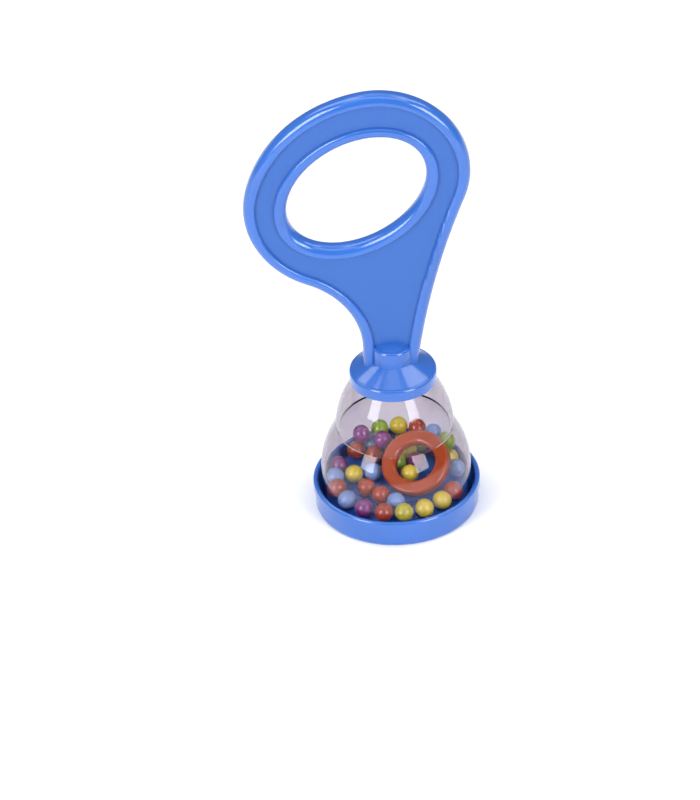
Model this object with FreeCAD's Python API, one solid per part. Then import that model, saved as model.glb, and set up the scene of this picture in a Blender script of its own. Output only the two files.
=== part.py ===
"""Baby rattle: a flat ring-topped handle on a clear two-tier dome over a round base dish.

Frame: origin on the rattle's own axis, at the level that the base stands on, +Z up along that axis.
The flat grip lies in the XZ plane and its ring leans towards -X. All sizes are in millimetres.
"""
import FreeCAD, Part
import math
import os

Vector = FreeCAD.Vector
ORIGIN = Vector(0, 0, 0)
X_AXIS = Vector(1, 0, 0)
Y_AXIS = Vector(0, 1, 0)
Z_AXIS = Vector(0, 0, 1)
tolerance = 0.01

# Base dish
lip_radius = 33.0
lip_thickness = 2.0
lip_top = 11.5
lip_bottom = 7.7
lip_chamfer = 0.5
base_wall_radius = 32.3
base_corner = 1.4
foot_inner_radius = 29.6
floor_level = 7.2
floor_thickness = 1.8
underside_flat_radius = 22.6
channel_radius = 27.9
channel_level = 4.8
dimple_radius = 8.0
dimple_rise = 1.1
sound_hole_pairs = 4
sound_hole_first_angle = 26.0
sound_hole_ring = 18.0
sound_hole_pair_spacing = 8.2
sound_hole_radius = 2.3
sound_hole_corner = 0.5

# Clear dome: the bell stands straight, then rounds in to the crease, and the bulb goes on above it
dome_wall = 1.3
dome_foot = 4.9
dome_radius = 29.7
bell_straight_top = 15.5
bell_arc_radius = 36.8
crease_height = 36.1
bulb_arc_radius = 39.3
shoulder_radius = 15.45
shoulder_height = 58.6
dome_top = 62.7
dome_top_round = 1.5
flange_radius = 30.8
flange_top = 6.4
flange_chamfer = 0.6
spigot_radius = 5.6
spigot_top = 70.8

# Handle: collar and hub
collar_radius = 17.15
collar_bottom = 58.6
collar_band_top = 63.4
collar_round = 1.2
collar_socket_radius = 15.7
collar_socket_top = 62.9
hub_radius = 8.1
hub_foot = 67.7
hub_shoulder = 74.8
hub_top = 76.4
hub_round = 1.2
hub_socket_radius = 5.75
hub_socket_top = 71.2

# Handle: flat grip. Its outline is walked clockwise from the left foot of the neck, heading up,
# as arcs of (radius, turn in degrees), where a turn to the left is positive.
grip_thickness = 7.8
grip_outer_round = 3.2
grip_inner_round = 1.3
grip_foot = 64.0
rim_width = 4.7
web_thickness = 4.8
below_size = 200.0
outline_start = (-11.4, 73.6)
outline_arcs = [
    (32.4, 69.1),
    (36.3, -83.5),
    (58.8, -63.6),
    (34.8, -123.2),
    (343.0, 17.0),
]
opening_centre = (-11.8, 146.2)
opening_half_length = 30.3
opening_half_width = 20.8
opening_tilt = 38.2
opening_bead_width = 5.0

# Loose ring, lying among the balls and leaning towards -Y, turned a little towards -X
ring_radius = 13.7
ring_hole_radius = 8.1
ring_thickness = 5.0
ring_round = 1.3
ring_centre = Vector(7.9, 0.1, 16.8)
ring_lean = 34.2
ring_turn = 23.7

# Loose balls, in the order in which they settle: colour, distance from the axis and azimuth
ball_radius = 3.65
ball_clearance = 0.15
wall_row = 24.4
upper_row = 24.0
ball_spots = [
    ("orange", wall_row, -162),
    ("blue", wall_row, -141),
    ("purple", wall_row, -120.5),
    ("orange", wall_row, -101),
    ("lime", wall_row, -82.5),
    ("yellow", wall_row, -63),
    ("yellow", wall_row, -43),
    ("orange", wall_row, -25),
    ("blue", wall_row, 10.4),
    ("yellow", wall_row, 28.8),
    ("purple", wall_row, 47.2),
    ("green", wall_row, 65.6),
    ("orange", wall_row, 84),
    ("blue", wall_row, 114.5),
    ("orange", wall_row, 133),
    ("purple", wall_row, 161.5),
    ("blue", wall_row, 180),
    ("blue", 17.3, -90.3),
    ("orange", 14.1, -115.4),
    ("orange", 13.9, -147.7),
    ("yellow", 17.0, 174.5),
    ("blue", 9.8, 162.7),
    ("orange", 17.1, 122.4),
    ("purple", 19.4, 99.5),
    ("yellow", 17.5, 75),
    ("green", 9.3, 89.5),
    ("purple", 12.2, 50.5),
    ("yellow", 5.3, 12),
    ("purple", upper_row, 127),
    ("green", upper_row, 106.5),
    ("yellow", upper_row, 88),
    ("orange", upper_row, 69.5),
    ("blue", upper_row, 51),
    ("green", upper_row, 32.5),
    ("purple", 16.5, 110),
]


def polar(radius, degrees, height=0.0):
    """Point at a distance and azimuth round the Z axis."""
    angle = math.radians(degrees)
    return Vector(radius * math.cos(angle), radius * math.sin(angle), height)


def profile_point(place):
    """Point in the XZ plane from (x, z)."""
    return Vector(place[0], 0, place[1])


def line(start, end):
    return Part.LineSegment(profile_point(start), profile_point(end)).toShape()


def lines(*points):
    """Straight profile edges through the given points."""
    return [line(start, end) for start, end in zip(points, points[1:])]


def arc_about(centre, start, end):
    """Profile arc from start to end, the short way round the centre."""
    middle_x = (start[0] + end[0]) / 2 - centre[0]
    middle_z = (start[1] + end[1]) / 2 - centre[1]
    radius = math.hypot(start[0] - centre[0], start[1] - centre[1])
    scale = radius / math.hypot(middle_x, middle_z)
    middle = (centre[0] + middle_x * scale, centre[1] + middle_z * scale)
    return Part.Arc(profile_point(start), profile_point(middle), profile_point(end)).toShape()


def turned(edges):
    """Solid of revolution about the Z axis from a closed profile."""
    return Part.Face(Part.Wire(edges)).revolve(ORIGIN, Z_AXIS, 360)


def slab(edges, thickness):
    """Closed outline in the XZ plane given a thickness, centred on that plane."""
    face = Part.Face(Part.Wire(edges))
    face.translate(Vector(0, -thickness / 2, 0))
    return face.extrude(Vector(0, thickness, 0))


# ---- base dish ----------------------------------------------------------------------------

def sound_hole(distance, azimuth):
    """Half-round cutter for one hole in the floor, with its flat side towards the axis."""
    height = floor_level + 1.0
    flat = -sound_hole_radius / 3
    rod = Part.makeCylinder(sound_hole_radius, height)
    block = Part.makeBox(2 * sound_hole_radius, 2 * sound_hole_radius, height)
    block.translate(Vector(flat, -sound_hole_radius, 0))
    cutter = rod.common(block)
    corners = []
    for edge in cutter.Edges:
        ends = [vertex.Point for vertex in edge.Vertexes]
        if len(ends) == 2 and ends[0].distanceToPoint(ends[1]) > height - tolerance:
            corners.append(edge)
    cutter = cutter.makeFillet(sound_hole_corner, corners)
    cutter.translate(Vector(distance, 0, 0))
    cutter.rotate(ORIGIN, Z_AXIS, azimuth)
    return cutter


def base_dish():
    """Round dish: a raised floor over a hollow underside, and a lip that holds the dome."""
    ceiling = floor_level - floor_thickness
    lip_inside = lip_radius - lip_thickness
    lip_round = lip_thickness / 2
    lip_crown = lip_top - lip_round
    flank = foot_inner_radius - underside_flat_radius
    flank_radius = (flank ** 2 + ceiling ** 2) / (2 * ceiling)
    corner_centre = (base_wall_radius - base_corner, base_corner)
    profile = [
        line((0, ceiling), (underside_flat_radius, ceiling)),
        arc_about(
            (underside_flat_radius, ceiling - flank_radius),
            (underside_flat_radius, ceiling),
            (foot_inner_radius, 0),
        ),
        line((foot_inner_radius, 0), (corner_centre[0], 0)),
        arc_about(corner_centre, (corner_centre[0], 0), (base_wall_radius, base_corner)),
    ]
    profile += lines(
        (base_wall_radius, base_corner),
        (base_wall_radius, lip_bottom),
        (lip_radius, lip_bottom + lip_chamfer),
        (lip_radius, lip_crown),
    )
    crown_centre = (lip_radius - lip_round, lip_crown)
    crown = (crown_centre[0], lip_top)
    profile.append(arc_about(crown_centre, (lip_radius, lip_crown), crown))
    profile.append(arc_about(crown_centre, crown, (lip_inside, lip_crown)))
    profile += lines(
        (lip_inside, lip_crown),
        (lip_inside, channel_level),
        (channel_radius, channel_level),
        (channel_radius, floor_level),
        (0, floor_level),
        (0, ceiling),
    )
    dish = turned(profile)
    dimple_sphere = (dimple_radius ** 2 + dimple_rise ** 2) / (2 * dimple_rise)
    dimple_centre = Vector(0, 0, ceiling + dimple_rise - dimple_sphere)
    dish = dish.cut(Part.makeSphere(dimple_sphere, dimple_centre))
    for index in range(sound_hole_pairs):
        azimuth = sound_hole_first_angle + index * 360.0 / sound_hole_pairs
        for side in (-0.5, 0.5):
            distance = sound_hole_ring + side * sound_hole_pair_spacing
            dish = dish.cut(sound_hole(distance, azimuth))
    return dish


# ---- clear dome ---------------------------------------------------------------------------

def bulge_centre(lower, upper, radius):
    """Centre of the profile arc through two points that bulges away from the axis."""
    chord = math.hypot(upper[0] - lower[0], upper[1] - lower[1])
    sagitta_leg = math.sqrt(radius ** 2 - (chord / 2) ** 2)
    across_x = -(upper[1] - lower[1]) / chord
    across_z = (upper[0] - lower[0]) / chord
    return (
        (lower[0] + upper[0]) / 2 + across_x * sagitta_leg,
        (lower[1] + upper[1]) / 2 + across_z * sagitta_leg,
    )


def height_at(centre, radius, distance):
    """Height at which the upper half of a profile circle passes a distance from the axis."""
    return centre[1] + math.sqrt(radius ** 2 - (distance - centre[0]) ** 2)


def circles_meet(centre_a, radius_a, centre_b, radius_b):
    """Meeting point, on the side away from the axis, of two profile circles."""
    gap = math.hypot(centre_b[0] - centre_a[0], centre_b[1] - centre_a[1])
    along = (radius_a ** 2 - radius_b ** 2 + gap ** 2) / (2 * gap)
    aside = math.sqrt(radius_a ** 2 - along ** 2)
    unit_x = (centre_b[0] - centre_a[0]) / gap
    unit_z = (centre_b[1] - centre_a[1]) / gap
    left = (
        centre_a[0] + unit_x * along - unit_z * aside,
        centre_a[1] + unit_z * along + unit_x * aside,
    )
    right = (
        centre_a[0] + unit_x * along + unit_z * aside,
        centre_a[1] + unit_z * along - unit_x * aside,
    )
    return max(left, right)


def clear_dome():
    """Two-tier clear shell, with a snap flange round its foot and a closed spigot on top."""
    side = (dome_radius, bell_straight_top)
    bell_centre = (dome_radius - bell_arc_radius, bell_straight_top)
    crease_rise = crease_height - bell_straight_top
    crease_radius = bell_centre[0] + math.sqrt(bell_arc_radius ** 2 - crease_rise ** 2)
    crease = (crease_radius, crease_height)
    shoulder = (shoulder_radius, shoulder_height)
    bulb_centre = bulge_centre(crease, shoulder, bulb_arc_radius)
    bell_inner = bell_arc_radius - dome_wall
    bulb_inner = bulb_arc_radius - dome_wall
    side_inner = (dome_radius - dome_wall, bell_straight_top)
    crease_inner = circles_meet(bell_centre, bell_inner, bulb_centre, bulb_inner)
    neck_inner = shoulder_radius - dome_wall
    shoulder_inner = (neck_inner, height_at(bulb_centre, bulb_inner, neck_inner))
    round_centre = (shoulder_radius - dome_top_round, dome_top - dome_top_round)
    profile = lines(
        (dome_radius - dome_wall, dome_foot),
        (flange_radius, dome_foot),
        (flange_radius, flange_top - flange_chamfer),
        (dome_radius, flange_top),
        side,
    )
    profile += [
        arc_about(bell_centre, side, crease),
        arc_about(bulb_centre, crease, shoulder),
        line(shoulder, (shoulder_radius, round_centre[1])),
        arc_about(round_centre, (shoulder_radius, round_centre[1]), (round_centre[0], dome_top)),
    ]
    profile += lines(
        (round_centre[0], dome_top),
        (spigot_radius, dome_top),
        (spigot_radius, spigot_top),
        (0, spigot_top),
        (0, spigot_top - dome_wall),
        (spigot_radius - dome_wall, spigot_top - dome_wall),
        (spigot_radius - dome_wall, dome_top - dome_wall),
        (neck_inner, dome_top - dome_wall),
        shoulder_inner,
    )
    profile += [
        arc_about(bulb_centre, shoulder_inner, crease_inner),
        arc_about(bell_centre, crease_inner, side_inner),
        line(side_inner, (dome_radius - dome_wall, dome_foot)),
    ]
    return turned(profile)


# ---- handle -------------------------------------------------------------------------------

def collar_and_hub():
    """Round collar that caps the dome, rising in a cone to the short hub with its crowned top."""
    band_round = (collar_radius - collar_round, collar_band_top - collar_round)
    crown_round = (hub_radius - hub_round, hub_shoulder - hub_round)
    cone_foot = (band_round[0], collar_band_top)
    crown_foot = (crown_round[0], hub_shoulder)
    crown_middle = (crown_foot[0] / 2, hub_top - (hub_top - hub_shoulder) / 4)
    crown = Part.Arc(*[profile_point(p) for p in (crown_foot, crown_middle, (0, hub_top))])
    profile = [
        line((collar_radius, collar_bottom), (collar_radius, band_round[1])),
        arc_about(band_round, (collar_radius, band_round[1]), cone_foot),
        line(cone_foot, (hub_radius, hub_foot)),
        line((hub_radius, hub_foot), (hub_radius, crown_round[1])),
        arc_about(crown_round, (hub_radius, crown_round[1]), crown_foot),
        crown.toShape(),
    ]
    profile += lines((0, hub_top), (0, collar_bottom), (collar_radius, collar_bottom))
    return turned(profile)


def dome_socket():
    """Cutter for the stepped socket under the collar, which takes the dome and its spigot."""
    shoulder_bore = Part.makeCylinder(
        collar_socket_radius, collar_socket_top - collar_bottom, Vector(0, 0, collar_bottom))
    spigot_bore = Part.makeCylinder(
        hub_socket_radius, hub_socket_top - collar_bottom, Vector(0, 0, collar_bottom))
    return shoulder_bore.fuse(spigot_bore)


def grip_outline(inset):
    """Closed outline of the grip, a given distance inside its outer edge."""
    place = (outline_start[0] + inset, outline_start[1])
    edges = [line((place[0], 0), place)]
    heading = math.radians(90)
    for radius, turn in outline_arcs:
        side = math.copysign(1, turn)
        reach = radius + side * inset
        centre = (
            place[0] - side * reach * math.sin(heading),
            place[1] + side * reach * math.cos(heading),
        )
        points = [place]
        for share in (0.5, 1.0):
            angle = heading + math.radians(turn) * share
            points.append((
                centre[0] + side * reach * math.sin(angle),
                centre[1] - side * reach * math.cos(angle),
            ))
        edges.append(Part.Arc(*[profile_point(p) for p in points]).toShape())
        place = points[-1]
        heading += math.radians(turn)
    edges += lines(place, (place[0], 0), (outline_start[0] + inset, 0))
    return edges


def opening_outline(margin):
    """Tilted oval of the finger opening, a given distance outside its edge."""
    oval = Part.Ellipse(ORIGIN, opening_half_length + margin, opening_half_width + margin)
    edge = oval.toShape()
    edge.rotate(ORIGIN, X_AXIS, 90)
    edge.rotate(ORIGIN, Y_AXIS, -opening_tilt)
    edge.translate(profile_point(opening_centre))
    return [edge]


def round_edges(solid, outline, radius):
    """Round the edges that a slab as thick as the grip has along an outline, on both flat sides."""
    wire = Part.Wire(outline)
    half = grip_thickness / 2
    picked = []
    for edge in solid.Edges:
        box = edge.BoundBox
        on_side = box.YLength < tolerance and abs(abs(box.YMin) - half) < tolerance
        if not on_side or box.ZMax < grip_foot + tolerance:
            continue
        if abs(edge.distToShape(wire)[0] - half) < tolerance:
            picked.append(edge)
    return solid.makeFillet(radius, picked)


def handle():
    """One-piece handle: collar, hub, and a grip with raised rounded rims and a thin web."""
    below = Part.makeBox(below_size, below_size, grip_foot)
    below.translate(Vector(-below_size / 2, -below_size / 2, 0))
    rim = slab(grip_outline(0), grip_thickness).cut(slab(grip_outline(rim_width), grip_thickness))
    rim = round_edges(rim.cut(below), grip_outline(0), grip_outer_round)
    rim = round_edges(rim, grip_outline(rim_width), grip_inner_round)
    bead = slab(opening_outline(opening_bead_width), grip_thickness)
    bead = bead.cut(slab(opening_outline(0), grip_thickness))
    bead = round_edges(bead, opening_outline(0), grip_outer_round)
    bead = round_edges(bead, opening_outline(opening_bead_width), grip_inner_round)
    web = slab(grip_outline(rim_width / 2), web_thickness).cut(below)
    web = web.cut(slab(opening_outline(opening_bead_width / 2), web_thickness))
    body = rim.multiFuse([bead, web, collar_and_hub()])
    return body.cut(dome_socket()).removeSplitter()


# ---- loose pieces -------------------------------------------------------------------------

def loose_ring():
    """Plain ring with rounded edges."""
    half = ring_thickness / 2
    profile = lines(
        (ring_hole_radius, -half),
        (ring_radius, -half),
        (ring_radius, half),
        (ring_hole_radius, half),
        (ring_hole_radius, -half),
    )
    ring = turned(profile)
    corners = [edge for edge in ring.Edges if abs(abs(edge.BoundBox.ZMin) - half) < tolerance]
    ring = ring.makeFillet(ring_round, [e for e in corners if e.BoundBox.ZLength < tolerance])
    ring.rotate(ORIGIN, X_AXIS, ring_lean)
    ring.rotate(ORIGIN, Z_AXIS, -ring_turn)
    ring.translate(ring_centre)
    return ring


def settled_centres():
    """Ball centres: each ball lies on the floor, or on the balls already below it."""
    pitch = 2 * ball_radius + ball_clearance
    centres = []
    for _colour, distance, azimuth in ball_spots:
        spot = polar(distance, azimuth)
        height = floor_level + ball_radius + ball_clearance
        for other in centres:
            apart = math.hypot(spot.x - other.x, spot.y - other.y)
            if apart < pitch:
                height = max(height, other.z + math.sqrt(pitch ** 2 - apart ** 2))
        centres.append(Vector(spot.x, spot.y, height))
    return centres


def balls():
    """Named loose balls, numbered within each colour."""
    named = {}
    for (colour, _distance, _azimuth), centre in zip(ball_spots, settled_centres()):
        number = 1 + sum(name.startswith("ball_" + colour) for name in named)
        named["ball_%s_%d" % (colour, number)] = Part.makeSphere(ball_radius, centre)
    return named


def main():
    os.makedirs("parts", exist_ok=True)
    pieces = {
        "handle": handle(),
        "dome": clear_dome(),
        "base_dish": base_dish(),
        "loose_ring": loose_ring(),
    }
    pieces.update(balls())
    for name, shape in pieces.items():
        shape.exportStep("parts/" + name + ".step")
        print(name, shape.isValid(), len(shape.Solids), round(shape.Volume, 1))


main()
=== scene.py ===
"""Looks for the baby rattle: blue plastic handle and base, clear dome, loose coloured balls and a ring.

Everything is in metres, in the frame of the CAD model: origin on the rattle's axis at the level that
the base stands on, +Z up, the flat grip in the XZ plane. The camera looks roughly along +Y.
"""
import math

import bpy
from mathutils import Matrix, Vector

MM = 0.001

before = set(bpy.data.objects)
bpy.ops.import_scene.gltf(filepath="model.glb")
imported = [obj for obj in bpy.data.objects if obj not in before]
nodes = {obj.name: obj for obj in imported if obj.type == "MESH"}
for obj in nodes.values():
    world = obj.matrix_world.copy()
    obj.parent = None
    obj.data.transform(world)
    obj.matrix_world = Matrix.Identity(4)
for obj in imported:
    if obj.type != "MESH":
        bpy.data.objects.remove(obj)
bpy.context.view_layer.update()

# ---- camera -------------------------------------------------------------------------------

CAMERA_PLACE = Vector((61.03, -2021.8, 1470.8)) * MM
CAMERA_YAW = 0.0387
CAMERA_PITCH = 0.6129
CAMERA_ROLL = -0.0390
LENS = 283.6
SENSOR = 36.0


def camera():
    """Long lens from in front and above, with the small turn and roll of the view."""
    data = bpy.data.cameras.new("view")
    data.sensor_width = SENSOR
    data.lens = LENS
    data.clip_start = 0.05
    data.clip_end = 50.0
    obj = bpy.data.objects.new("view", data)
    bpy.context.scene.collection.objects.link(obj)
    forward = Vector((
        -math.sin(CAMERA_YAW) * math.cos(CAMERA_PITCH),
        math.cos(CAMERA_YAW) * math.cos(CAMERA_PITCH),
        -math.sin(CAMERA_PITCH),
    ))
    level = Vector((math.cos(CAMERA_YAW), math.sin(CAMERA_YAW), 0.0))
    above = level.cross(forward)
    right = level * math.cos(CAMERA_ROLL) + above * math.sin(CAMERA_ROLL)
    up = above * math.cos(CAMERA_ROLL) - level * math.sin(CAMERA_ROLL)
    turn = Matrix((right, up, -forward)).transposed()
    obj.matrix_world = Matrix.Translation(CAMERA_PLACE) @ turn.to_4x4()
    bpy.context.scene.camera = obj


# ---- materials ----------------------------------------------------------------------------

# Base colours are linear.
BLUE = (0.026, 0.130, 0.50)
# Painted shade: a darker blue for the web's flat faces, because the rounded rims catch more light from
# above than the web.
PAINTED_SHADE_WEB_BLUE = (0.020, 0.107, 0.41)
RING_ORANGE = (0.35, 0.054, 0.006)
BALL_COLORS = {
    "yellow": (0.64, 0.54, 0.040),
    "orange": (0.36, 0.05, 0.01),
    "purple": (0.20, 0.028, 0.165),
    "blue": (0.19, 0.32, 0.55),
    "green": (0.27, 0.42, 0.03),
    "lime": (0.50, 0.49, 0.03),
}
SATIN_ROUGHNESS = 0.36
GLOSS_ROUGHNESS = 0.19
GLOSS_COAT = 0.55
SATIN_COAT = 0.1
COAT_ROUGHNESS = 0.08
PLASTIC_IOR = 1.49

# The web's faces lie below the first distance from the grip's middle plane, the rims beyond the second.
WEB_FACE = 2.4 * MM
RIM_START = 2.55 * MM
# A face counts as flat where its normal is nearly along Y.
FACE_START = 0.9
FACE_FULL = 0.98

CLEAR_TINT = (0.942, 0.932, 0.952, 1.0)
CLEAR_DEPTH_COLOR = (0.81, 0.785, 0.832, 1.0)
CLEAR_DENSITY = 1000.0
CLEAR_IOR = 1.38

# A noise node's value seldom leaves this range.
NOISE_LOW = 0.3
NOISE_HIGH = 0.7
# Noise scales, in features per metre.
FLOW_SCALE = 38.0
CLEAR_RIPPLE_SCALE = 60.0
RIPPLE_SCALE = 70.0
HAZE_SCALE = 120.0
SMEAR_SCALE = 160.0
GRAIN_SCALE = 2600.0


def feed(tree, socket, value):
    """Link another socket to this one, or set it to a plain value."""
    if isinstance(value, bpy.types.NodeSocket):
        tree.links.new(value, socket)
    else:
        socket.default_value = value


def node(tree, kind, **sockets):
    """New shader node with its sockets set or linked by name."""
    made = tree.nodes.new(kind)
    for name, value in sockets.items():
        feed(tree, made.inputs[name.replace("_", " ")], value)
    return made


def new_material(name):
    """Empty material with a Principled shader on its output."""
    material = bpy.data.materials.new(name)
    material.use_nodes = True
    tree = material.node_tree
    tree.nodes.clear()
    output = tree.nodes.new("ShaderNodeOutputMaterial")
    shader = tree.nodes.new("ShaderNodeBsdfPrincipled")
    tree.links.new(shader.outputs["BSDF"], output.inputs["Surface"])
    return material, tree, shader


def noise(tree, place, scale, detail):
    """Value of a noise texture, about 0.5 on average."""
    made = node(tree, "ShaderNodeTexNoise", Vector=place, Scale=scale, Detail=detail, Roughness=0.5)
    return made.outputs["Fac"]


def ramp(tree, value, start, end, low, high):
    """Spread a value from one range to another, without going past its ends."""
    made = node(
        tree, "ShaderNodeMapRange",
        Value=value, From_Min=start, From_Max=end, To_Min=low, To_Max=high)
    return made.outputs["Result"]


def noise_ramp(tree, value, low, high):
    """Spread a noise value over a range."""
    return ramp(tree, value, NOISE_LOW, NOISE_HIGH, low, high)


def shade(color, factor):
    """Colour made lighter or darker, with its alpha."""
    return tuple(min(1.0, channel * factor) for channel in color) + (1.0,)


def calculate(tree, operation, *values):
    """Result of a math node."""
    made = tree.nodes.new("ShaderNodeMath")
    made.operation = operation
    for socket, value in zip(made.inputs, values):
        feed(tree, socket, value)
    return made.outputs["Value"]


def blend_colors(tree, factor, first, second):
    """Colour mix node. Its sockets 6 and 7 are the two colours, and output 2 is the mixed one."""
    made = tree.nodes.new("ShaderNodeMix")
    made.data_type = "RGBA"
    tree.links.new(factor, made.inputs["Factor"])
    feed(tree, made.inputs[6], first)
    feed(tree, made.inputs[7], second)
    return made.outputs[2]


def bump(tree, height, strength, distance, **sockets):
    """Normal of a bump node. Another bump can come in by its Normal socket."""
    made = node(tree, "ShaderNodeBump", Strength=strength, Distance=distance, Height=height, **sockets)
    return made.outputs["Normal"]


def moulded(name, color, roughness, tone=0.06, ripple=0.25, soft=0.0, coat=0.0):
    """Injection-moulded plastic: slight flow marks in its colour, a faint ripple and a fine grain."""
    material, tree, shader = new_material(name)
    place = tree.nodes.new("ShaderNodeTexCoord").outputs["Object"]
    flow = noise_ramp(tree, noise(tree, place, FLOW_SCALE, 2.0), 0.0, 1.0)
    mixed = blend_colors(tree, flow, shade(color, 1.0 - tone), shade(color, 1.0 + tone))
    tree.links.new(mixed, shader.inputs["Base Color"])
    smear = noise(tree, place, SMEAR_SCALE, 4.0)
    uneven = noise_ramp(tree, smear, roughness * 0.85, roughness * 1.2)
    tree.links.new(uneven, shader.inputs["Roughness"])
    wave = bump(tree, noise(tree, place, RIPPLE_SCALE, 1.0), ripple, 0.4 * MM)
    fine = bump(tree, noise(tree, place, GRAIN_SCALE, 2.0), 0.05, 0.05 * MM, Normal=wave)
    tree.links.new(fine, shader.inputs["Normal"])
    shader.inputs["IOR"].default_value = PLASTIC_IOR
    shader.inputs["Subsurface Weight"].default_value = soft
    shader.inputs["Subsurface Radius"].default_value = (1.0, 0.6, 0.4)
    shader.inputs["Subsurface Scale"].default_value = 1.2 * MM
    shader.inputs["Coat Weight"].default_value = coat
    shader.inputs["Coat Roughness"].default_value = COAT_ROUGHNESS
    return material


def glossy_plastic(name, color):
    """Plastic of the handle and the base."""
    return moulded(name, color, GLOSS_ROUGHNESS, soft=0.05, coat=GLOSS_COAT)


def grip_plastic(name, color, web_shade_color):
    """Glossy plastic, with a satin finish on the two flat faces of the grip's web, which also get a
    darker colour there as painted shade.
    """
    material = glossy_plastic(name, color)
    tree = material.node_tree
    shader = next(n for n in tree.nodes if n.type == "BSDF_PRINCIPLED")
    spot = tree.nodes.new("ShaderNodeTexCoord")
    depth = node(tree, "ShaderNodeSeparateXYZ", Vector=spot.outputs["Object"]).outputs["Y"]
    facing = node(tree, "ShaderNodeSeparateXYZ", Vector=spot.outputs["Normal"]).outputs["Y"]
    raised = ramp(tree, calculate(tree, "ABSOLUTE", depth), WEB_FACE, RIM_START, 0.0, 1.0)
    turned = ramp(tree, calculate(tree, "ABSOLUTE", facing), FACE_START, FACE_FULL, 1.0, 0.0)
    glossy_and_unshaded = calculate(tree, "MAXIMUM", raised, turned)
    # Painted shade: the web's flat faces take the darker blue and the rims the plain blue. The same mask
    # also sets the real satin and gloss finish.
    plain = shader.inputs["Base Color"].links[0].from_socket
    mixed = blend_colors(tree, glossy_and_unshaded, web_shade_color + (1.0,), plain)
    tree.links.new(mixed, shader.inputs["Base Color"])
    smear = shader.inputs["Roughness"].links[0].from_socket
    flat = calculate(tree, "SUBTRACT", 1.0, glossy_and_unshaded)
    satin = calculate(tree, "MULTIPLY", flat, SATIN_ROUGHNESS - GLOSS_ROUGHNESS)
    tree.links.new(calculate(tree, "ADD", smear, satin), shader.inputs["Roughness"])
    tree.links.new(ramp(tree, glossy_and_unshaded, 0.0, 1.0, SATIN_COAT, GLOSS_COAT), shader.inputs["Coat Weight"])
    return material


def clear_shell(name):
    """Clear moulded plastic with a faint ripple from the mould. Lamps shine straight through it."""
    material, tree, shader = new_material(name)
    place = tree.nodes.new("ShaderNodeTexCoord").outputs["Object"]
    wave = bump(tree, noise(tree, place, CLEAR_RIPPLE_SCALE, 1.0), 0.12, 0.3 * MM)
    tree.links.new(wave, shader.inputs["Normal"])
    haze = noise(tree, place, HAZE_SCALE, 3.0)
    tree.links.new(noise_ramp(tree, haze, 0.01, 0.035), shader.inputs["Roughness"])
    shader.inputs["Base Color"].default_value = CLEAR_TINT
    shader.inputs["Transmission Weight"].default_value = 1.0
    shader.inputs["IOR"].default_value = CLEAR_IOR
    passing = node(tree, "ShaderNodeBsdfTransparent", Color=CLEAR_TINT)
    mix = tree.nodes.new("ShaderNodeMixShader")
    lamp_ray = tree.nodes.new("ShaderNodeLightPath").outputs["Is Shadow Ray"]
    tree.links.new(lamp_ray, mix.inputs["Fac"])
    tree.links.new(shader.outputs["BSDF"], mix.inputs[1])
    tree.links.new(passing.outputs["BSDF"], mix.inputs[2])
    output = next(n for n in tree.nodes if n.type == "OUTPUT_MATERIAL")
    tree.links.new(mix.outputs["Shader"], output.inputs["Surface"])
    inside = node(tree, "ShaderNodeVolumeAbsorption", Color=CLEAR_DEPTH_COLOR, Density=CLEAR_DENSITY)
    tree.links.new(inside.outputs["Volume"], output.inputs["Volume"])
    return material


def paint(name, material):
    """Give a CAD node one material."""
    mesh = nodes[name].data
    mesh.materials.clear()
    mesh.materials.append(material)


def finish_nodes():
    """Give every CAD node its finish."""
    paint("handle", grip_plastic("blue_grip", BLUE, PAINTED_SHADE_WEB_BLUE))
    paint("base_dish", glossy_plastic("blue_moulded", BLUE))
    paint("dome", clear_shell("clear_moulded"))
    paint("loose_ring", moulded("orange_moulded", RING_ORANGE, roughness=0.22, coat=0.5))
    beads = {
        name: moulded("bead_" + name, color, roughness=0.28, tone=0.09, ripple=0.15, coat=0.8)
        for name, color in BALL_COLORS.items()
    }
    for name in nodes:
        if name.startswith("ball_"):
            paint(name, beads[name.split("_")[1]])


# ---- stage --------------------------------------------------------------------------------

FLOOR_HALF = 6.0
FLOOR_WHITE = (0.96, 0.96, 0.965)
AIM_HEIGHT = 80 * MM

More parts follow.
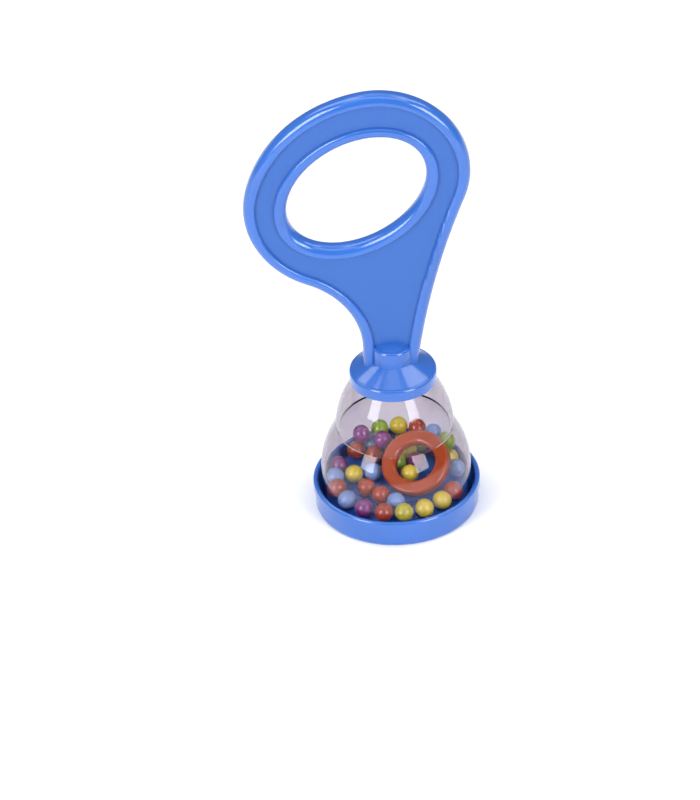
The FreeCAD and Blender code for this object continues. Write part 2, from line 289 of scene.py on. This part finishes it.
# name: azimuth and elevation in degrees, distance, width and height in metres, power in watts
SOFTBOXES = {
    "softbox_left": (-46, 24, 1.1, 0.42, 0.7, 8.6),
    "softbox_right": (44, 24, 1.1, 0.42, 0.7, 7.8),
    "softbox_front": (0, 74, 1.3, 1.3, 0.7, 4.6),
    "softbox_back": (180, 62, 1.5, 1.3, 0.9, 3.6),
    "softbox_side_left": (-114, 56, 1.2, 0.5, 0.7, 3.4),
    "softbox_side_right": (114, 56, 1.2, 0.5, 0.7, 3.4),
}


def floor():
    """Plain pale floor at the level that the base stands on."""
    mesh = bpy.data.meshes.new("floor")
    corners = [(-1, -1), (1, -1), (1, 1), (-1, 1)]
    mesh.from_pydata([(x * FLOOR_HALF, y * FLOOR_HALF, 0.0) for x, y in corners], [], [(0, 1, 2, 3)])
    material, _tree, shader = new_material("paper")
    shader.inputs["Base Color"].default_value = FLOOR_WHITE + (1.0,)
    shader.inputs["Roughness"].default_value = 0.9
    mesh.materials.append(material)
    obj = bpy.data.objects.new("floor", mesh)
    bpy.context.scene.collection.objects.link(obj)


def softbox(name, azimuth, elevation, distance, width, height, power):
    """Rectangular studio light, aimed at the rattle's axis. Azimuth 0 is at the camera's side."""
    data = bpy.data.lights.new(name, "AREA")
    data.shape = "RECTANGLE"
    data.size = width
    data.size_y = height
    data.energy = power
    obj = bpy.data.objects.new(name, data)
    bpy.context.scene.collection.objects.link(obj)
    turn = math.radians(azimuth)
    rise = math.radians(elevation)
    back = Vector((
        math.sin(turn) * math.cos(rise),
        -math.cos(turn) * math.cos(rise),
        math.sin(rise),
    ))
    obj.location = Vector((0, 0, AIM_HEIGHT)) + back * distance
    obj.rotation_mode = "QUATERNION"
    obj.rotation_quaternion = back.to_track_quat("Z", "Y")


def studio():
    """Soft white surroundings and the softboxes."""
    world = bpy.data.worlds.new("studio")
    bpy.context.scene.world = world
    world.use_nodes = True
    background = world.node_tree.nodes["Background"]
    background.inputs["Color"].default_value = (1.0, 1.0, 1.0, 1.0)
    background.inputs["Strength"].default_value = 0.2
    for name, setting in SOFTBOXES.items():
        softbox(name, *setting)


camera()
finish_nodes()
floor()
studio()
bpy.context.scene.view_settings.view_transform = "Standard"
